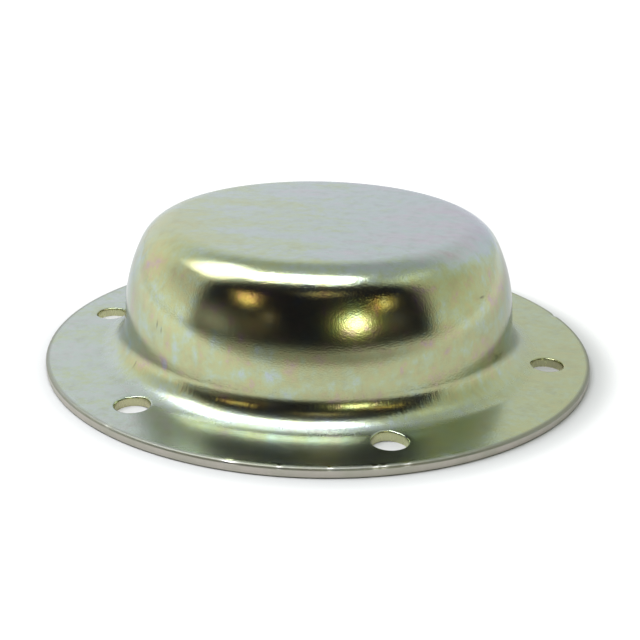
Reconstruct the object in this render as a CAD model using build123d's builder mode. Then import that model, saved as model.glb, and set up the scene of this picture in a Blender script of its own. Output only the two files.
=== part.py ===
from build123d import *
from math import acos, cos, degrees, pi, radians, sin, tan
import os

# Hub cap drawn from one disc of sheet steel, then trimmed round and pierced.
# The flange's seat face lies on Z = 0, the axis is +Z and the closed end is up. Sizes are in mm and degrees.

# Sheet
sheet = 2.0

# Bolt holes, which match the tapped holes of the hub
bolt_circle_dia = 102.0
bolt_hole_dia = 7.0
bolt_hole_count = 6

# Trimmed edge and foot of the wall, each measured from the bolt circle
trim_margin = 9.0
wall_margin = 7.5

# Cup, with its radii measured on the outside
cap_height = 30.5
wall_draft = 5.0
wall_land = 5.2
root_radius = 6.0
shoulder_radius = 34.5
crown_radius = 9.0

# Rounding that the trimming and piercing punches leave on the upper edges
trim_roll = 0.5
pierce_roll = 0.3

# Places along the radius that follow from these sizes
flange_radius = bolt_circle_dia / 2 + trim_margin
foot_radius = bolt_circle_dia / 2 - wall_margin
lean = radians(wall_draft)
root_end = foot_radius + root_radius / tan((pi / 2 + lean) / 2)

# The sheet, the root, the straight land, the slack shoulder and the tight crown add up to the height.
# The first three are known, and the height left for the bends settles how far the crown turns.
root_rise = root_radius * (1 - sin(lean))
land_rise = wall_land * cos(lean)
bend_rise = cap_height - sheet - root_rise - land_rise
crown_cos = (bend_rise - crown_radius + shoulder_radius * sin(lean)) / (shoulder_radius - crown_radius)
crown_turn = degrees(acos(crown_cos))
shoulder_turn = 90 - wall_draft - crown_turn

with BuildPart() as hub_cap:
    # Half section: the outside line from the trimmed edge up to the axis, thickened inwards by the sheet
    with BuildSketch(Plane.XZ):
        with BuildLine():
            flange = Line((flange_radius, sheet), (root_end, sheet))
            root = JernArc(flange @ 1, flange % 1, root_radius, wall_draft - 90)
            land = PolarLine(root @ 1, wall_land, direction=root % 1)
            shoulder = JernArc(land @ 1, land % 1, shoulder_radius, shoulder_turn)
            crown = JernArc(shoulder @ 1, shoulder % 1, crown_radius, crown_turn)
            Line(crown @ 1, (0, cap_height))
            offset(amount=sheet, side=Side.LEFT)
        make_face()
    revolve(axis=Axis.Z)

    # Trimmed edge, rounded above and sharp below
    trimmed_rim = hub_cap.edges().filter_by(GeomType.CIRCLE).group_by(SortBy.RADIUS)[-1]
    fillet(trimmed_rim.sort_by(Axis.Z)[-1], trim_roll)

    # Bolt holes, pierced from above close to the wall, where they just cut into the root
    with PolarLocations(bolt_circle_dia / 2, bolt_hole_count):
        Hole(bolt_hole_dia / 2)
    pierced = hub_cap.faces(Select.LAST).filter_by(GeomType.CYLINDER)
    upper_rims = pierced.edges().filter_by(lambda edge: edge.bounding_box().min.Z > sheet / 2)
    fillet(upper_rims, pierce_roll)

hub_cap.part.label = "hub_cap"

os.makedirs("parts", exist_ok=True)
export_step(hub_cap.part, "parts/hub_cap.step")
print("hub_cap: flange", 2 * flange_radius, "mm, flat of the closed end", round(2 * (crown @ 1).X, 2), "mm")
print("crown turns", round(crown_turn, 2), "and shoulder", round(shoulder_turn, 2), "degrees")
print("volume", round(hub_cap.part.volume / 1000, 2), "cubic cm")
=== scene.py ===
# %% [markdown]
# # A pressed hub cap
# A hub cap keeps dirt out of a wheel hub and grease in. This one starts as a flat disc of steel. A press draws the
# disc into a cup, trims the flange round and pierces six holes, and then the whole piece is zinc plated.
# The CAD model gives the sizes and the place. This script makes the surface that is seen: the drawn sheet, the
# sheared edges, and the thin plating that turns from grey to straw, pink and lilac.

# %% Load the frame
from math import acos, cos, degrees, pi, radians, sin, tan

import bmesh
import bpy
import numpy as np
from mathutils import Matrix


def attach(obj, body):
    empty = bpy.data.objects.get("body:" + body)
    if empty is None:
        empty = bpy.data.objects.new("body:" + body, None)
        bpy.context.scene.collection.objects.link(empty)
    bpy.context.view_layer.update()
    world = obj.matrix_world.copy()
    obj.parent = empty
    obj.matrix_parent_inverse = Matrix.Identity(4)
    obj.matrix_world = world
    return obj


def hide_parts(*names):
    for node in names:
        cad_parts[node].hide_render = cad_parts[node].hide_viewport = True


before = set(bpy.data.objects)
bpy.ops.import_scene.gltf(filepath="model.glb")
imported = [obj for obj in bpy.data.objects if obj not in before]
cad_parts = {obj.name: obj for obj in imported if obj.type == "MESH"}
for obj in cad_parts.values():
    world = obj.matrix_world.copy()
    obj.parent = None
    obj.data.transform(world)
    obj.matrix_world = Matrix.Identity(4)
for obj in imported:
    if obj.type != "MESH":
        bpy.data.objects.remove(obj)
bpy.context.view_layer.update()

scene = bpy.context.scene
scene.view_settings.view_transform = "Standard"

# %% [markdown]
# ## The section of the sheet
# A drawn cup has the same thickness of metal everywhere, so its inside line runs parallel to its outside line.
# Every bend keeps one centre for both skins, and only the radius changes by the thickness. The outside line is a
# flat top, a tight crown, a slack shoulder, a short straight wall that leans by the draft, the root and the flange.

# %% Sizes of the pressing, in metres and degrees
mm = 0.001
sheet = 2.0 * mm
flange_radius = 60.0 * mm
foot_radius = 43.5 * mm
cap_height = 30.5 * mm
wall_draft = 5.0
wall_land = 5.2 * mm
root_radius = 6.0 * mm
shoulder_radius = 34.5 * mm
crown_radius = 9.0 * mm
trim_roll = 0.5 * mm

lean = radians(wall_draft)
wall_out = np.array([cos(lean), sin(lean)])
wall_up = np.array([-sin(lean), cos(lean)])
root_end = foot_radius + root_radius / tan((pi / 2 + lean) / 2)
root_centre = np.array([root_end, sheet + root_radius])
land_low = root_centre - root_radius * wall_out
land_high = land_low + wall_land * wall_up
shoulder_centre = land_high - shoulder_radius * wall_out
crown_cosine = (cap_height - crown_radius - shoulder_centre[1]) / (shoulder_radius - crown_radius)
crown_turn = degrees(acos(crown_cosine))
bend = radians(90 - crown_turn)
crown_centre = shoulder_centre + (shoulder_radius - crown_radius) * np.array([cos(bend), sin(bend)])
print("flat of the closed end in mm:", round(2000 * crown_centre[0], 2), "crown turn:", round(crown_turn, 2))


# %% Lines of the outside and inside skin
def arc(centre, radius, start, end, steps):
    """Points of a circle: its centre plus the radius times the cosine and sine of evenly spaced angles."""
    angle = np.radians(np.linspace(start, end, steps + 1))
    return np.stack([centre[0] + radius * np.cos(angle), centre[1] + radius * np.sin(angle)], 1)


def straight(first, last, steps):
    """Points that divide the way from the first point to the last into equal steps."""
    share = np.linspace(0, 1, steps + 1)[:, None]
    return np.asarray(first) + (np.asarray(last) - np.asarray(first)) * share


def joined(*runs):
    """The runs end to end, without the point that each one shares with the run before it."""
    return np.concatenate([runs[0]] + [run[1:] for run in runs[1:]])


def skin(depth, root_stop, steps):
    """Half section of the skin that lies the given depth inside the outer one, from the axis to the root."""
    flat, crown, shoulder, land, root = steps
    top = cap_height - depth
    stop = 270 - degrees(np.arcsin((root_end - root_stop) / (root_radius + depth)))
    return joined(
        straight((0, top), (crown_centre[0], top), flat),
        arc(crown_centre, crown_radius - depth, 90, 90 - crown_turn, crown),
        arc(shoulder_centre, shoulder_radius - depth, 90 - crown_turn, wall_draft, shoulder),
        straight(land_high - depth * wall_out, land_low - depth * wall_out, land),
        arc(root_centre, root_radius + depth, 180 + wall_draft, stop, root),
    )


band_inside = 46.8 * mm
band_outside = 56.5 * mm
outer_line = skin(0, band_inside, (14, 26, 26, 5, 22))
inner_line = skin(sheet, band_inside, (6, 14, 14, 3, 14))
print("points on the outside line:", len(outer_line), "and on the inside line:", len(inner_line))

# %% [markdown]
# ## The turned skins and the trimmed edge
# Both skins are surfaces of revolution: the line is carried round the axis. The trimming die rolls the upper edge
# of the flange over by half a millimetre, shears the sheet straight down and leaves a small break below.

# %% Turned surfaces
edge_break = 0.25 * mm
columns_cup = 360
columns_rim = 720


def turned(line, columns):
    """Surface of revolution: x is radius times cosine, y is radius times sine, z is the height of the line."""
    angle = np.arange(columns) * 2 * pi / columns
    radius, height = line[:, :1], line[:, 1:]
    points = np.stack([radius * np.cos(angle), radius * np.sin(angle), height + 0 * angle], -1).reshape(-1, 3)
    row, column = np.meshgrid(np.arange(len(line) - 1), np.arange(columns), indexing="ij")
    after = (column + 1) % columns
    faces = np.stack([row * columns + column, row * columns + after,
                      (row + 1) * columns + after, (row + 1) * columns + column], -1)
    return points, faces.reshape(-1, 4)


rim_roll = arc((flange_radius - trim_roll, sheet - trim_roll), trim_roll, 90, 0, 8)
rim_break = arc((flange_radius - edge_break, edge_break), edge_break, 0, -90, 3)
rim_top = joined(straight((band_outside, sheet), (flange_radius - trim_roll, sheet), 6), rim_roll)
rim_face = straight((flange_radius, sheet - trim_roll), (flange_radius, edge_break), 4)
rim_under = joined(rim_break, straight((flange_radius - edge_break, 0), (band_outside, 0), 3))
plated_parts = [turned(outer_line, columns_cup), turned(inner_line, columns_cup),
                turned(rim_top, columns_rim), turned(rim_under, columns_rim)]
trimmed_parts = [turned(rim_face, columns_rim)]
print("turned surfaces:", len(plated_parts) + len(trimmed_parts))

# %% [markdown]
# ## The pierced band
# The band of flange with the holes is cut into six equal sectors. In each one a grid runs from the hole outwards:
# circles at the hole, then shapes that grow step by step into the border of the sector. The steps are taken in
# radius and angle, so that no grid line cuts across the round border. The punch rolls the upper rim of a hole over,
# as the trimming die does at the edge.

# %% Border of a sector
bolt_circle_radius = 51.0 * mm
hole_radius = 3.5 * mm
hole_count = 6
pierce_roll = 0.3 * mm
half_sector = 180 / hole_count
outer_corner = 94
inner_corner = 115
flat_side = np.linspace(band_outside, root_end, 8)
bent_side = np.linspace(root_end, band_inside, 8)
side_radii = np.concatenate([flat_side, bent_side[1:]])


def sector_border(outer_steps, inner_steps):
    """Border of one sector, as points in the plane, and the angle round the hole that belongs to each point."""
    outer = np.linspace(-half_sector, half_sector, outer_steps + 1)[:-1]
    inner = np.linspace(half_sector, -half_sector, inner_steps + 1)[:-1]
    sides = side_radii[:-1]
    radius = np.concatenate([0 * outer + band_outside, sides, 0 * inner + band_inside, side_radii[:0:-1]])
    angle = np.radians(np.concatenate([outer, 0 * sides + half_sector, inner, 0 * sides - half_sector]))
    turns = [(-outer_corner, outer_corner, len(outer)), (outer_corner, inner_corner, len(sides)),
             (inner_corner, 360 - inner_corner, len(inner)), (360 - inner_corner, 360 - outer_corner, len(sides))]
    around = np.concatenate([np.linspace(first, last, count + 1)[:-1] for first, last, count in turns])
    return np.stack([radius * np.cos(angle), radius * np.sin(angle)], 1), np.radians(around)


# %% Grids between the holes and the borders
def root_height(radius, depth):
    """Height of the flange at a radius: flat, and rising on the root's arc inside the radius where that ends."""
    rise = np.clip(root_end - radius, 0, None)
    return root_centre[1] - np.sqrt((root_radius + depth) ** 2 - rise ** 2)


def closed_grid(points):
    """Faces of rings of points, each ring closed on itself and joined to the next."""
    rings, count = points.shape[:2]
    ring, step = np.meshgrid(np.arange(rings - 1), np.arange(count), indexing="ij")
    after = (step + 1) % count
    faces = np.stack([ring * count + step, ring * count + after,
                      (ring + 1) * count + after, (ring + 1) * count + step], -1)
    return points.reshape(-1, 3), faces.reshape(-1, 4)


def around_axis(points):
    """The same sector six times, each turned on by one step of the bolt circle."""
    copies = []
    for step in range(hole_count):
        a = 2 * pi * step / hole_count
        turn = np.array([[cos(a), sin(a), 0], [-sin(a), cos(a), 0], [0, 0, 1]])
        copies.append(closed_grid(points @ turn))
    return copies


def hole_circle(radius, around):
    """Points round a hole on the X axis: the centre on the bolt circle plus the radius at each angle."""
    return np.stack([bolt_circle_radius + radius * np.cos(around), radius * np.sin(around)], 1)


def polar(points):
    """Distance from the axis and angle round it, for points in the plane."""
    return np.stack([np.hypot(points[:, 0], points[:, 1]), np.arctan2(points[:, 1], points[:, 0])], 1)


def from_polar(places):
    """Points in the plane: x is radius times cosine and y is radius times sine."""
    return np.stack([places[:, 0] * np.cos(places[:, 1]), places[:, 0] * np.sin(places[:, 1])], 1)


def pierced_skin(depth, roll, growth):
    """Rings from a hole to the border: first the rolled rim, then shares of the way to the border."""
    border, around = sector_border(columns_rim // hole_count, columns_cup // hole_count)
    turn = np.radians(np.linspace(0, 90, 5)) if roll else np.array([pi / 2])
    rim = [(hole_circle(hole_radius + roll * (1 - cos(t)), around), roll * (1 - sin(t))) for t in turn]
    start = polar(hole_circle(hole_radius + roll, around))
    spread = [(from_polar(start + share * (polar(border) - start)), 0) for share in growth]
    flat = np.stack([points for points, drop in rim + spread])
    drop = np.array([drop for points, drop in rim + spread])[:, None]
    height = root_height(np.hypot(flat[..., 0], flat[..., 1]), depth) - drop
    return np.dstack([flat, height])


# %% Sectors with holes
growth_power = 1.3
top_rings = pierced_skin(0, pierce_roll, np.linspace(0, 1, 13)[1:] ** growth_power)
under_rings = pierced_skin(sheet, 0, np.linspace(0, 1, 6)[1:] ** growth_power)
wall_share = np.linspace(0, 1, 5)[:, None, None]
wall_rings = top_rings[:1] + wall_share * (under_rings[:1] - top_rings[:1])
plated_parts += around_axis(top_rings) + around_axis(under_rings)
pierced_parts = around_axis(wall_rings)
print("sectors:", hole_count, "with", top_rings.shape[1], "points round each hole")

# %% [markdown]
# ## Knocks on the edge
# The trimmed edge of a part that has lain in a bin with others has small knocks, which push the metal in and down
# a little. Some of them are fresh and shine. Each knock is a bell curve along the edge, so the points near it move
# most and the metal between two knocks stays as it was.

# %% Knocks
knock_angles = np.radians([31.6, 233.8, 239.3, 244.0, 270.0, 278.6, 287.1, 294.7, 296.2, 300.2, 306.2, 308.0])
knock_widths = np.array([0.9, 0.9, 0.6, 0.7, 1.2, 0.4, 0.4, 0.5, 0.5, 0.6, 0.8, 1.0]) * mm
knock_depths = np.array([0.25, 0.10, 0.06, 0.08, 0.12, 0.05, 0.05, 0.08, 0.07, 0.08, 0.10, 0.12]) * mm
knock_shine = np.array([0, 0, 0, 0.3, 1, 0.8, 0.8, 1, 1, 1, 0, 0])
knock_sink = 0.8


def soft_step(value, low, high):
    """0 up to the low value and 1 past the high one, with a straight rise between them."""
    return np.clip((value - low) / (high - low), 0, 1)


def near_knocks(points):
    """How near each point of the upper edge is to each knock: a bell curve of the distance along the edge."""
    radius = np.hypot(points[:, 0], points[:, 1])
    angle = np.arctan2(points[:, 1], points[:, 0])[:, None] - knock_angles
    apart = flange_radius * np.abs((angle + pi) % (2 * pi) - pi)
    on_edge = soft_step(radius, flange_radius - 1.6 * mm, flange_radius - 0.4 * mm)
    on_edge = on_edge * soft_step(points[:, 2], 0, sheet) ** 2
    return on_edge[:, None] * np.exp(-(apart / knock_widths) ** 2)


def knocked(points):
    """Points moved in and down by the depth of the knocks that are near."""
    depth = near_knocks(points) @ knock_depths
    inward = 1 - depth / np.maximum(np.hypot(points[:, 0], points[:, 1]), mm)
    return np.stack([points[:, 0] * inward, points[:, 1] * inward, points[:, 2] - knock_sink * depth], 1)


print("knocks:", len(knock_angles), "the deepest in mm:", round(1000 * knock_depths.max(), 2))

# %% [markdown]
# ## One closed piece
# The surfaces meet in the same points, so they are welded into one closed skin. Three finishes are told apart:
# the plated skin, the trimmed edge and the walls of the holes. The press treats each part of the sheet in its own
# way, so the mesh also stores where the metal stands upright, was scored, was stretched or was rolled over.

# %% Weld the surfaces
weld_distance = 0.002 * mm
sharp_angle = radians(40)
groups = [plated_parts, trimmed_parts, pierced_parts]
parts = sum(groups, [])
finish_of_faces = np.repeat(np.arange(3), [sum(len(faces) for points, faces in group) for group in groups])
starts = np.cumsum([0] + [len(points) for points, faces in parts])
all_points = knocked(np.concatenate([points for points, faces in parts]))
all_faces = np.concatenate([faces + start for (points, faces), start in zip(parts, starts)])
cap_mesh = bpy.data.meshes.new("pressed_cap")
cap_mesh.from_pydata(all_points.tolist(), [], all_faces.tolist())
cap_mesh.polygons.foreach_set("material_index", finish_of_faces.astype(np.int32))

welder = bmesh.new()
welder.from_mesh(cap_mesh)
bmesh.ops.remove_doubles(welder, verts=welder.verts, dist=weld_distance)
bmesh.ops.recalc_face_normals(welder, faces=welder.faces)
open_edges = sum(1 for edge in welder.edges if len(edge.link_faces) != 2)
volume = welder.calc_volume()
welder.to_mesh(cap_mesh)
welder.free()
cap_mesh.polygons.foreach_set("use_smooth", np.ones(len(cap_mesh.polygons), bool))
cap_mesh.set_sharp_from_angle(angle=sharp_angle)
cap_mesh.calc_loop_triangles()
print("open edges:", open_edges, "volume in cubic cm:", round(volume * 1e6, 2))
print("triangles:", len(cap_mesh.loop_triangles))

# %% Zones of the sheet
normals = np.zeros(3 * len(cap_mesh.vertices), np.float32)
cap_mesh.vertex_normals.foreach_get("vector", normals)
spots = np.zeros(3 * len(cap_mesh.vertices), np.float32)
cap_mesh.vertices.foreach_get("co", spots)
spots = spots.reshape(-1, 3)
from_axis = np.hypot(spots[:, 0], spots[:, 1])
round_by = np.degrees(np.arctan2(spots[:, 1], spots[:, 0])) % 360

# Each drag of the die: its angle and its spread in degrees, and its strength
drags = [(302.0, 8.0, 1.0), (239.0, 4.0, 0.8)]
drag_radius = 46.2 * mm
drag_width = 1.6 * mm
in_root = soft_step(from_axis, root_end + mm, root_end - mm) * soft_step(spots[:, 2], 9 * mm, 7 * mm)
on_crown = soft_step(spots[:, 2], crown_centre[1] + 3 * mm, crown_centre[1] + 5 * mm)
dragged = sum(strength * np.exp(-((round_by - angle) / spread) ** 2) for angle, spread, strength in drags)
zones = {
    "upright": 1 - np.abs(normals.reshape(-1, 3)[:, 2]),
    "scored": in_root,
    "dragged": dragged * np.exp(-((from_axis - drag_radius) / drag_width) ** 2),
    "stretched": np.maximum(0.4 * in_root, on_crown),
    "rolled": soft_step(from_axis, flange_radius - 0.8 * mm, flange_radius - 0.4 * mm),
    "bared": np.clip(near_knocks(spots) @ knock_shine, 0, 1),
}
for name, values in zones.items():
    cap_mesh.attributes.new(name, "FLOAT", "POINT").data.foreach_set("value", values.astype(np.float32))
hub_cap = bpy.data.objects.new("pressed_cap", cap_mesh)
scene.collection.objects.link(hub_cap)
print("zones stored:", ", ".join(zones))

# %% [markdown]
# ## Zinc plating with a thin coloured film
# Bright zinc is dipped in a bath that leaves a film thinner than a soap bubble. Where the film is thin the metal
# looks grey, and as it grows it turns green straw, yellow, pink and lilac. It drains off flat faces and gathers on
# walls, so the thickness starts from how upright the metal stands, and cloudy noise changes it from place to place.
# A material is a tree of nodes. A few short functions make the tree read like sums.


# %% Short ways to write nodes
def link(tree, value, socket):
    """Sets a socket to a number or colour, or joins another node's output to it."""
    if isinstance(value, bpy.types.NodeSocket):
        tree.links.new(value, socket)
    else:
        socket.default_value = value


def maths(tree, operation, first, second=0.0, third=0.0):
    """One sum on numbers, such as ADD, MULTIPLY or EXPONENT."""
    node = tree.nodes.new("ShaderNodeMath")
    node.operation = operation
    for value, socket in zip((first, second, third), node.inputs):
        link(tree, value, socket)
    return node.outputs[0]


def scaled(tree, value, amount, rest=0.0):
    """The value times an amount, plus the rest."""
    return maths(tree, "MULTIPLY_ADD", value, amount, rest)


def vectors(tree, operation, first, second=(0.0, 0.0, 0.0)):
    """One sum on vectors, such as MULTIPLY, NORMALIZE or DOT_PRODUCT."""
    node = tree.nodes.new("ShaderNodeVectorMath")
    node.operation = operation
    link(tree, first, node.inputs[0])
    link(tree, second, node.inputs[1])
    return node.outputs["Value" if operation in ("DOT_PRODUCT", "LENGTH") else "Vector"]


def noise(tree, place, scale, detail=2.0, roughness=0.5):
    """Cloudy noise between 0 and 1 at a place, with the given number of clouds per metre."""
    node = tree.nodes.new("ShaderNodeTexNoise")
    link(tree, place, node.inputs["Vector"])
    node.inputs["Scale"].default_value = scale
    node.inputs["Detail"].default_value = detail
    node.inputs["Roughness"].default_value = roughness
    return node.outputs["Fac"]


def fade(tree, value, low, high):
    """A smooth step from 0 at the low value to 1 at the high one."""
    node = tree.nodes.new("ShaderNodeMapRange")
    node.interpolation_type = "SMOOTHSTEP"
    for number, socket in zip((value, low, high), node.inputs):
        link(tree, number, socket)
    return node.outputs[0]


def between(tree, share, first, second):
    """A number between the first and the second."""
    node = tree.nodes.new("ShaderNodeMix")
    for value, name in ((share, "Factor"), (first, "A"), (second, "B")):
        link(tree, value, node.inputs[name])
    return node.outputs["Result"]


def blended(tree, share, first, second):
    """A colour between the first and the second."""
    node = tree.nodes.new("ShaderNodeMix")
    node.data_type = "RGBA"
    link(tree, share, node.inputs["Factor"])
    link(tree, first, node.inputs["A"])
    link(tree, second, node.inputs["B"])
    return node.outputs["Result"]


def tinted(red, green, blue):
    """A colour with full cover."""
    return (red, green, blue, 1.0)


def zone(tree, name):
    """The value that was stored on the mesh under a name."""
    node = tree.nodes.new("ShaderNodeAttribute")
    node.attribute_name = name
    return node.outputs["Fac"]


# %% Places on the plating
plate = bpy.data.materials.new("zinc_plate")
plate.use_nodes = True
tree = plate.node_tree
shader = tree.nodes["Principled BSDF"]
place = tree.nodes.new("ShaderNodeTexCoord").outputs["Object"]

roll_direction = 14.776
grain_turn = tree.nodes.new("ShaderNodeVectorRotate")
grain_turn.rotation_type = "Z_AXIS"
link(tree, place, grain_turn.inputs["Vector"])
grain_turn.inputs["Angle"].default_value = -radians(roll_direction)
along_roll = grain_turn.outputs[0]
along_sheet = vectors(tree, "MULTIPLY", along_roll, (1.0, 2.4, 2.4))
round_axis = vectors(tree, "NORMALIZE", vectors(tree, "MULTIPLY", place, (1.0, 1.0, 0.0)))
on_cup = vectors(tree, "ADD", vectors(tree, "MULTIPLY", round_axis, (0.043, 0.043, 0.0)),
                 vectors(tree, "MULTIPLY", place, (0.0, 0.0, 0.12)))
sideways = vectors(tree, "DOT_PRODUCT", along_roll, (1.0, 0.0, 0.0))
above_seat = vectors(tree, "DOT_PRODUCT", place, (0.0, 0.0, 1.0))
on_wall = fade(tree, zone(tree, "upright"), 0.02, 0.55)
on_top = fade(tree, above_seat, 0.010, 0.020)
print("the sheet was rolled at", roll_direction, "degrees from a bolt hole")

# %% Thickness of the film
clouds = noise(tree, place, 170.0, 6.0, 0.65)
patches = noise(tree, along_sheet, 50.0, 5.0, 0.62)
drips = noise(tree, on_cup, 420.0, 5.0, 0.65)
speckle = noise(tree, place, 600.0, 4.0, 0.7)
top_film = scaled(tree, sideways, -5.0, scaled(tree, patches, 0.9, -0.17))
flange_film = scaled(tree, fade(tree, sideways, 0.0, 0.05), 0.26, scaled(tree, patches, 0.45, 0.045))
wall_film = scaled(tree, clouds, 1.5, scaled(tree, drips, 0.5, -0.42))
film = between(tree, on_wall, between(tree, on_top, flange_film, top_film), wall_film)
film = scaled(tree, speckle, 0.50, maths(tree, "SUBTRACT", film, 0.25))
print("nodes for the film:", len(tree.nodes))

# %% [markdown]
# ## Stains and scratches
# Drops that dry on the wall leave rings of thicker film, and rubbed spots have a thinner one. Each is a bell curve
# in three directions round a spot on the skin, so that it stays on the wall and does not show on the flange.
# Scratches are the same, only narrow, and they make the metal dark.


# %% Marks on the wall
def mark(angle, radius, height, wide, tall, deep=3.0):
    """A soft spot: a bell curve of the distances sideways, up and outwards from a spot on the skin, in mm."""
    a = radians(angle)
    away = vectors(tree, "SUBTRACT", place, (radius * mm * cos(a), radius * mm * sin(a), height * mm))
    ways = ((-sin(a), cos(a), 0.0), (0.0, 0.0, 1.0), (cos(a), sin(a), 0.0))
    square = 0.0
    for way, size in zip(ways, (wide, tall, deep)):
        share = maths(tree, "DIVIDE", vectors(tree, "DOT_PRODUCT", away, way), size * mm)
        square = maths(tree, "MULTIPLY_ADD", share, share, square)
    return maths(tree, "EXPONENT", scaled(tree, square, -1.0))


# Each stain: angle, radius and height of its spot, its width and height, and the change of the film
stains = [
    (229.8, 42.7, 11.0, 1.3, 1.4, 0.30),
    (239.8, 43.0, 8.2, 1.0, 1.2, 0.30),
    (314.3, 42.1, 15.9, 1.2, 1.2, 0.30),
    (307.9, 42.5, 12.9, 0.9, 0.8, 0.25),
    (306.3, 42.7, 11.7, 0.9, 0.8, 0.25),
    (242.0, 42.6, 12.2, 1.6, 1.4, 0.15),
    (251.2, 42.6, 12.2, 0.9, 2.2, -0.28),
    (265.4, 42.8, 10.6, 1.4, 1.8, -0.28),
    (272.8, 42.7, 11.4, 1.5, 1.6, -0.28),
    (248.2, 42.3, 15.3, 1.5, 1.2, -0.25),
]
# Each scratch: angle, radius and height of its spot, its width and height
scratches = [
    (235.7, 42.2, 15.5, 0.2, 0.7),
    (237.8, 42.3, 14.8, 0.15, 0.6),
    (226.1, 44.0, 4.7, 0.15, 0.7),
    (337.2, 40.6, 21.4, 0.8, 0.2),
]
ragged = scaled(tree, drips, 2.0)
for angle, radius, height, wide, tall, change in stains:
    spot = maths(tree, "MULTIPLY", mark(angle, radius, height, wide, tall), ragged)
    film = scaled(tree, spot, change, film)
scratched = 0.0
for scratch in scratches:
    scratched = maths(tree, "ADD", mark(*scratch), scratched)
print("stains:", len(stains), "scratches:", len(scratches))

# %% [markdown]
# ## The colour of the film
# A colour ramp reads the thickness and gives the tint that a film of that thickness shows. Handling dulls the
# plating in clouds, the rolled edge is rubbed dark, and fresh knocks show the bare bright metal. The colour goes
# into the base of a metal shader, because metal tints what it mirrors and has no colour of its own besides.

# %% Colour of the film
film_colours = [
    (0.00, tinted(0.47, 0.43, 0.48)),
    (0.12, tinted(0.45, 0.455, 0.475)),
    (0.25, tinted(0.415, 0.475, 0.475)),
    (0.40, tinted(0.41, 0.47, 0.34)),
    (0.55, tinted(0.42, 0.45, 0.26)),
    (0.68, tinted(0.44, 0.43, 0.24)),
    (0.80, tinted(0.46, 0.39, 0.30)),
    (0.90, tinted(0.43, 0.34, 0.37)),
    (1.00, tinted(0.42, 0.41, 0.44)),
]
dull_metal = tinted(0.27, 0.26, 0.19)
scratch_metal = tinted(0.10, 0.10, 0.09)
rubbed_metal = tinted(0.27, 0.27, 0.24)
bare_metal = tinted(0.80, 0.80, 0.78)

ramp = tree.nodes.new("ShaderNodeValToRGB")
first_stop, last_stop = ramp.color_ramp.elements
first_stop.position, first_stop.color = film_colours[0]
last_stop.position, last_stop.color = film_colours[-1]
for position, colour in film_colours[1:-1]:
    ramp.color_ramp.elements.new(position).color = colour
link(tree, film, ramp.inputs["Fac"])
tarnish = fade(tree, noise(tree, place, 330.0, 5.0, 0.72), 0.42, 0.78)
colour = blended(tree, scaled(tree, tarnish, 0.30), ramp.outputs["Color"], dull_metal)
colour = blended(tree, scaled(tree, scratched, 0.7), colour, scratch_metal)
colour = blended(tree, scaled(tree, zone(tree, "rolled"), 0.8), colour, rubbed_metal)
colour = blended(tree, zone(tree, "bared"), colour, bare_metal)
link(tree, colour, shader.inputs["Base Color"])
shader.inputs["Metallic"].default_value = 1.0
shader.inputs["Specular Tint"].default_value = tinted(0.77, 0.79, 0.87)
print("film colours:", len(film_colours))

# %% [markdown]
# ## Gloss and press marks
# Pressing leaves its own marks: fine lines along the draw on the wall, deep ones where the die dragged in the root,
# the grain of the rolled sheet on the flats, and the soft ripple called orange peel on the bends. They are far
# finer than the sheet is thick, so a bump of a few hundredths of a millimetre carries them.

# %% Press marks
mark_depth = 0.03 * mm
stretched = zone(tree, "stretched")
scored = zone(tree, "scored")
draw_lines = noise(tree, on_cup, 1500.0, 3.0, 0.6)
peel = noise(tree, place, 1500.0, 2.0, 0.6)
pits = noise(tree, place, 3300.0, 1.0, 0.5)
roll_lines = noise(tree, vectors(tree, "MULTIPLY", along_roll, (1.0, 9.0, 9.0)), 260.0, 3.0, 0.6)
draw_depth = scaled(tree, zone(tree, "dragged"), 3.0, scaled(tree, scored, 0.8, 0.25))
peel_marks = maths(tree, "MULTIPLY", peel, scaled(tree, stretched, 0.35, 0.10))
fine_marks = scaled(tree, pits, scaled(tree, stretched, 0.50, 0.42), peel_marks)
wall_marks = scaled(tree, draw_lines, draw_depth, fine_marks)
flat_marks = scaled(tree, roll_lines, 0.2, fine_marks)
bump = tree.nodes.new("ShaderNodeBump")
bump.inputs["Strength"].default_value = 1.0
bump.inputs["Distance"].default_value = mark_depth
link(tree, between(tree, on_wall, flat_marks, wall_marks), bump.inputs["Height"])
link(tree, bump.outputs["Normal"], shader.inputs["Normal"])
print("depth of the press marks in mm:", round(1000 * mark_depth, 3))

# %% Gloss
flange_gloss = 0.19
top_gloss = 0.14
wall_gloss = 0.10
rubbed_gloss = 0.34
gloss = between(tree, on_wall, between(tree, on_top, flange_gloss, top_gloss), wall_gloss)
gloss = scaled(tree, clouds, 0.08, scaled(tree, scored, 0.05, gloss))
gloss = scaled(tree, zone(tree, "rolled"), rubbed_gloss, gloss)
gloss = scaled(tree, zone(tree, "bared"), -rubbed_gloss, gloss)
link(tree, gloss, shader.inputs["Roughness"])
print("nodes in the plating:", len(tree.nodes))

# %% [markdown]
# ## Sheared metal
# Trimming and piercing come before the plating, so the sheared faces are plated too. The trimmed edge is torn and
# rough, and looks a dull tan. The holes are burnished by the punch, so their walls stay smooth and straw yellow.


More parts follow.
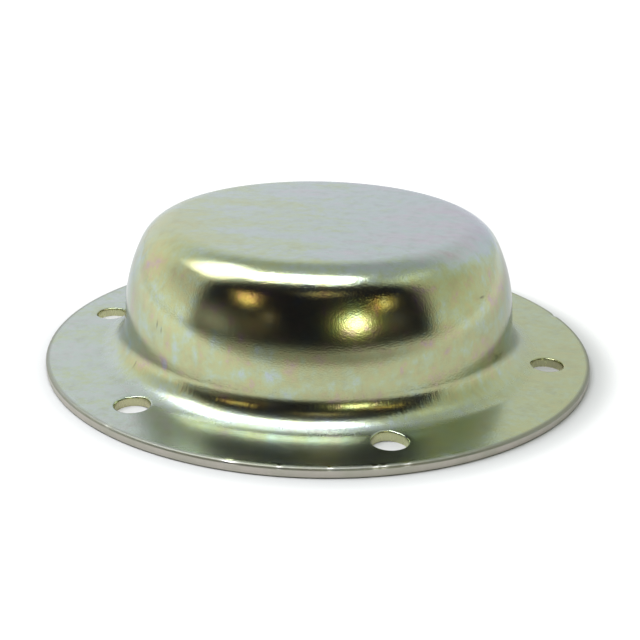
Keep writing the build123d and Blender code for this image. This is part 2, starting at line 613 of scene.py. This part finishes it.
# %% Sheared faces
def sheared_metal(name, light, dark, gloss):
    """Plated metal with fine lines across the sheet, between a light and a dark colour."""
    material = bpy.data.materials.new(name)
    material.use_nodes = True
    tree = material.node_tree
    shader = tree.nodes["Principled BSDF"]
    place = tree.nodes.new("ShaderNodeTexCoord").outputs["Object"]
    lines = noise(tree, vectors(tree, "MULTIPLY", place, (1.0, 1.0, 0.15)), 1500.0, 3.0, 0.6)
    cloud = noise(tree, place, 160.0, 3.0, 0.5)
    link(tree, blended(tree, fade(tree, cloud, 0.3, 0.7), light, dark), shader.inputs["Base Color"])
    shader.inputs["Metallic"].default_value = 1.0
    link(tree, scaled(tree, lines, 0.2, gloss), shader.inputs["Roughness"])
    bump = tree.nodes.new("ShaderNodeBump")
    bump.inputs["Distance"].default_value = mark_depth
    link(tree, lines, bump.inputs["Height"])
    link(tree, bump.outputs["Normal"], shader.inputs["Normal"])
    return material


tan_light, tan_dark = tinted(0.51, 0.47, 0.42), tinted(0.44, 0.43, 0.36)
straw_light, straw_dark = tinted(0.53, 0.56, 0.32), tinted(0.50, 0.48, 0.30)
cap_mesh.materials.append(plate)
cap_mesh.materials.append(sheared_metal("trimmed_edge", tan_light, tan_dark, 0.30))
cap_mesh.materials.append(sheared_metal("pierced_wall", straw_light, straw_dark, 0.18))
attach(hub_cap, "root")
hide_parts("hub_cap")
print("finishes on the piece:", ", ".join(material.name for material in cap_mesh.materials))

# %% [markdown]
# ## A light tent
# Polished metal shows its surroundings more than itself, so it is photographed in a tent of white cloth. The tent
# is open towards the camera, and that opening is the dark band on the cup. A few lamps of the room beyond shine
# in it as spots. The world's background is the tent: each direction is compared with planes through the middle.

# %% Directions in the tent
camera_turn = roll_direction
to_right = (cos(radians(camera_turn)), sin(radians(camera_turn)), 0.0)
to_back = (-sin(radians(camera_turn)), cos(radians(camera_turn)), 0.0)
world = bpy.data.worlds.new("light_tent")
world.use_nodes = True
scene.world = world
tree = world.node_tree
direction = tree.nodes.new("ShaderNodeTexCoord").outputs["Generated"]
across = vectors(tree, "DOT_PRODUCT", direction, to_right)
back = vectors(tree, "DOT_PRODUCT", direction, to_back)
up = vectors(tree, "DOT_PRODUCT", direction, (0.0, 0.0, 1.0))


def beyond(edge, softness):
    """1 on the far side of a plane through the middle, 0 on this side, with a soft edge."""
    total = scaled(tree, across, edge[0], scaled(tree, back, edge[1], scaled(tree, up, edge[2])))
    return fade(tree, total, -softness, softness)


def glow(bearing, height, wide, high):
    """A spot of light: a bell curve of the distance from its direction, as wide and high as the given angles."""
    a, e = radians(bearing), radians(height)
    level = np.array(to_right) * sin(a) - np.array(to_back) * cos(a)
    middle = level * cos(e) + np.array([0, 0, sin(e)])
    side = np.array(to_right) * cos(a) + np.array(to_back) * sin(a)
    rise = np.cross(side, middle)
    x = maths(tree, "DIVIDE", vectors(tree, "DOT_PRODUCT", direction, tuple(side)), sin(radians(wide)))
    y = maths(tree, "DIVIDE", vectors(tree, "DOT_PRODUCT", direction, tuple(rise)), sin(radians(high)))
    square = maths(tree, "MULTIPLY_ADD", x, x, maths(tree, "MULTIPLY", y, y))
    ahead = fade(tree, vectors(tree, "DOT_PRODUCT", direction, tuple(middle)), 0.0, 0.5)
    return maths(tree, "MULTIPLY", ahead, maths(tree, "EXPONENT", scaled(tree, square, -1.0)))


print("the camera looks across the roll lines, at", camera_turn, "degrees")

# %% Cloth
left_cloth = blended(tree, fade(tree, up, 0.02, 0.30), tinted(1.35, 1.36, 1.28), tinted(0.80, 0.81, 0.78))
right_cloth = blended(tree, fade(tree, up, 0.02, 0.40), tinted(0.95, 0.97, 0.85), tinted(0.70, 0.74, 0.62))
cloth = blended(tree, fade(tree, across, -0.6, 0.8), left_cloth, right_cloth)
low_back = blended(tree, fade(tree, across, -0.5, 0.5), tinted(1.31, 1.29, 1.18), tinted(0.99, 1.02, 1.00))
back_cloth = blended(tree, fade(tree, up, 0.35, 0.75), low_back, tinted(0.88, 0.91, 0.80))
cloth = blended(tree, fade(tree, back, 0.1, 0.6), cloth, back_cloth)
roof = maths(tree, "MULTIPLY", beyond((0.0, -0.6, 0.8), 0.10), fade(tree, up, 0.6, 0.8))
cloth = blended(tree, roof, cloth, tinted(0.56, 0.59, 0.54))
cloth = blended(tree, glow(87.0, 53.0, 13.0, 6.5), cloth, tinted(1.18, 1.24, 0.98))
print("nodes in the cloth:", len(tree.nodes))

# %% Opening and the room beyond
upper_edge = beyond((0.0, -0.94, -0.34), 0.03)
right_edge = beyond((-1 / 2.76, -2.57 / 2.76, 0.0), 0.12)
left_edge = beyond((1 / 4.444, -4.33 / 4.444, 0.0), 0.10)
opening = maths(tree, "MULTIPLY", maths(tree, "MULTIPLY", upper_edge, right_edge), left_edge)
# Each lamp of the room: bearing and height of its direction, its width and height in degrees, and its colour
room_lamps = [
    (-61.6, 7.3, 14.0, 7.0, tinted(0.42, 0.42, 0.40)),
    (-38.0, 12.0, 12.0, 6.0, tinted(0.13, 0.11, 0.08)),
    (-45.6, 27.2, 4.4, 1.7, tinted(6.0, 4.4, 1.7)),
    (-29.5, 19.3, 3.4, 2.6, tinted(0.4, 0.29, 0.16)),
    (4.0, 44.0, 8.0, 2.8, tinted(1.3, 1.05, 0.6)),
    (40.0, 26.5, 4.6, 1.8, tinted(3.2, 2.4, 0.8)),
    (42.0, 14.0, 9.0, 6.0, tinted(0.13, 0.11, 0.09)),
    (21.5, 17.2, 8.6, 6.4, tinted(1.4, 1.5, 0.3)),
    (21.5, 17.2, 4.8, 3.6, tinted(9.0, 9.2, 7.0)),
]
room = tinted(0.014, 0.014, 0.025)
for bearing, height, wide, high, colour in room_lamps:
    room = blended(tree, glow(bearing, height, wide, high), room, colour)
room = blended(tree, fade(tree, up, 0.065, 0.0), room, tinted(0.11, 0.11, 0.10))
around = blended(tree, opening, cloth, room)
around = blended(tree, fade(tree, up, -0.02, 0.0), tinted(0.03, 0.028, 0.025), around)
rays = tree.nodes.new("ShaderNodeLightPath")
around = blended(tree, rays.outputs["Is Camera Ray"], around, tinted(1.0, 1.0, 1.0))
link(tree, around, tree.nodes["Background"].inputs["Color"])
print("lamps in the room:", len(room_lamps), "nodes in the tent:", len(tree.nodes))

# %% [markdown]
# ## Soft lamps and white paper
# Two soft lamps hang over the cloth and draw the bright strips on the crown and in the root. The cap stands on a
# sheet of white paper. Its front is painted darker, a painted shade of the opening, so the metal mirrors it darker
# there. The paper glows a little for the camera and for mirrored rays, which keeps it white without more light on
# the cap; the glow in mirrored rays is weaker at the front, as part of the painted shade.

# %% Soft lamps overhead
lamp_height = 0.20


def soft_lamp(name, across_span, front_span, brightness, skew=0.0):
    """A lamp over the cap: a rectangle given by its spans to the right and to the front, in metres, then turned."""
    middle = np.mean(across_span) * np.array(to_right) - np.mean(front_span) * np.array(to_back)
    data = bpy.data.lights.new(name, "AREA")
    data.shape = "RECTANGLE"
    data.size = across_span[1] - across_span[0]
    data.size_y = front_span[1] - front_span[0]
    data.energy = brightness * data.size * data.size_y * pi
    lamp = bpy.data.objects.new(name, data)
    lamp.location = (middle[0], middle[1], lamp_height)
    lamp.rotation_euler = (0.0, 0.0, radians(camera_turn + skew))
    scene.collection.objects.link(lamp)
    return lamp


lamps = [soft_lamp("lamp_over_front", (-0.104, 0.045), (0.030, 0.086), 10.0, -10.0),
         soft_lamp("lamp_over_left", (-0.235, -0.084), (-0.046, 0.060), 4.5)]
print("lamps in watts:", [round(lamp.data.energy, 3) for lamp in lamps])

# %% Paper
paper_front = 1.2
paper_back = 1.6
paper_half = 1.6
corners = [(-paper_half, -paper_front), (paper_half, -paper_front),
           (paper_half, paper_back), (-paper_half, paper_back)]
paper_points = [np.array(to_right) * x + np.array(to_back) * y for x, y in corners]
paper_mesh = bpy.data.meshes.new("paper")
paper_mesh.from_pydata([(point[0], point[1], 0.0) for point in paper_points], [], [(0, 1, 2, 3)])
paper = bpy.data.objects.new("paper", paper_mesh)
scene.collection.objects.link(paper)
print("paper in metres:", 2 * paper_half, "by", paper_front + paper_back)

# %% Painted shade and glow of the paper
white = bpy.data.materials.new("white_paper")
white.use_nodes = True
tree = white.node_tree
shader = tree.nodes["Principled BSDF"]
place = tree.nodes.new("ShaderNodeTexCoord").outputs["Object"]
# Painted shade: the paper's colour darkens towards its front, half as much towards the right.
to_front = scaled(tree, vectors(tree, "DOT_PRODUCT", place, to_back), -1.0)
rightwards = fade(tree, vectors(tree, "DOT_PRODUCT", place, to_right), 0.03, 0.25)
painted_front_shade = maths(tree, "MULTIPLY", fade(tree, to_front, 0.070, 0.150), scaled(tree, rightwards, -0.5, 1.0))
paper_colour = blended(tree, painted_front_shade, tinted(0.68, 0.69, 0.72), tinted(0.30, 0.30, 0.28))
link(tree, paper_colour, shader.inputs["Base Color"])
shader.inputs["Roughness"].default_value = 0.9
shader.inputs["Specular IOR Level"].default_value = 0.0

from_cap = vectors(tree, "LENGTH", place)
clear = fade(tree, from_cap, 0.0605, 0.068)
far = fade(tree, from_cap, 0.06, 0.30)
# The glow in mirrored rays is weaker at the front, where the painted shade lies.
mirrored_white = scaled(tree, maths(tree, "MULTIPLY", clear, scaled(tree, far, 0.75, 0.30)), 0.75)
mirrored_shine = between(tree, painted_front_shade, mirrored_white, scaled(tree, far, 0.17))
seen_white = maths(tree, "MULTIPLY", clear, scaled(tree, far, 0.70, 0.38))
seen_shine = between(tree, painted_front_shade, seen_white, clear)
rays = tree.nodes.new("ShaderNodeLightPath")
shine = maths(tree, "MULTIPLY", rays.outputs["Is Glossy Ray"], mirrored_shine)
shine = maths(tree, "MULTIPLY_ADD", rays.outputs["Is Camera Ray"], seen_shine, shine)
shader.inputs["Emission Color"].default_value = tinted(1.0, 1.0, 1.0)
link(tree, shine, shader.inputs["Emission Strength"])
paper_mesh.materials.append(white)
print("nodes in the paper:", len(tree.nodes))

# %% [markdown]
# ## The camera
# The camera looks down at the cap from a hand's length or two away, so the near edge is visibly larger than the
# far one. Its distance, height, turn and tilt were found from the outline of the flange and the four holes.

# %% Camera
picture = 640
focal = 1033.2
camera_distance = 3.923 * flange_radius
camera_rise = radians(22.667)
camera_roll = radians(1.058)
seat_at = (321.71, 345.70)

from_seat = camera_distance * np.array([0, -cos(camera_rise), sin(camera_rise)])
to_seat = -from_seat / camera_distance
base = np.array([(1, 0, 0), np.cross(to_seat, (1, 0, 0)), to_seat])
ray = np.array([(seat_at[0] - picture / 2) / focal, (seat_at[1] - picture / 2) / focal])
pan = -np.arctan(ray[0])
tilt = np.arctan(ray[1] / np.hypot(1, ray[0]))
pan_turn = np.array([[cos(pan), 0, -sin(pan)], [0, 1, 0], [sin(pan), 0, cos(pan)]])
tilt_turn = np.array([[1, 0, 0], [0, cos(tilt), sin(tilt)], [0, -sin(tilt), cos(tilt)]])
roll_turn = np.array([[cos(camera_roll), -sin(camera_roll), 0], [sin(camera_roll), cos(camera_roll), 0], [0, 0, 1]])
rightward, downward, forward = pan_turn.T @ tilt_turn @ roll_turn @ base
facing = Matrix((rightward, -downward, -forward)).transposed().to_4x4()
camera_data = bpy.data.cameras.new("camera")
camera_data.sensor_width = 36.0
camera_data.lens = focal / picture * camera_data.sensor_width
camera_data.clip_start = 0.01
camera = bpy.data.objects.new("camera", camera_data)
camera.matrix_world = Matrix.Rotation(radians(camera_turn), 4, "Z") @ Matrix.Translation(from_seat) @ facing
scene.collection.objects.link(camera)
scene.camera = camera
print("camera in mm:", [round(1000 * v, 1) for v in camera.matrix_world.translation])
print("lens in mm:", round(camera_data.lens, 2))
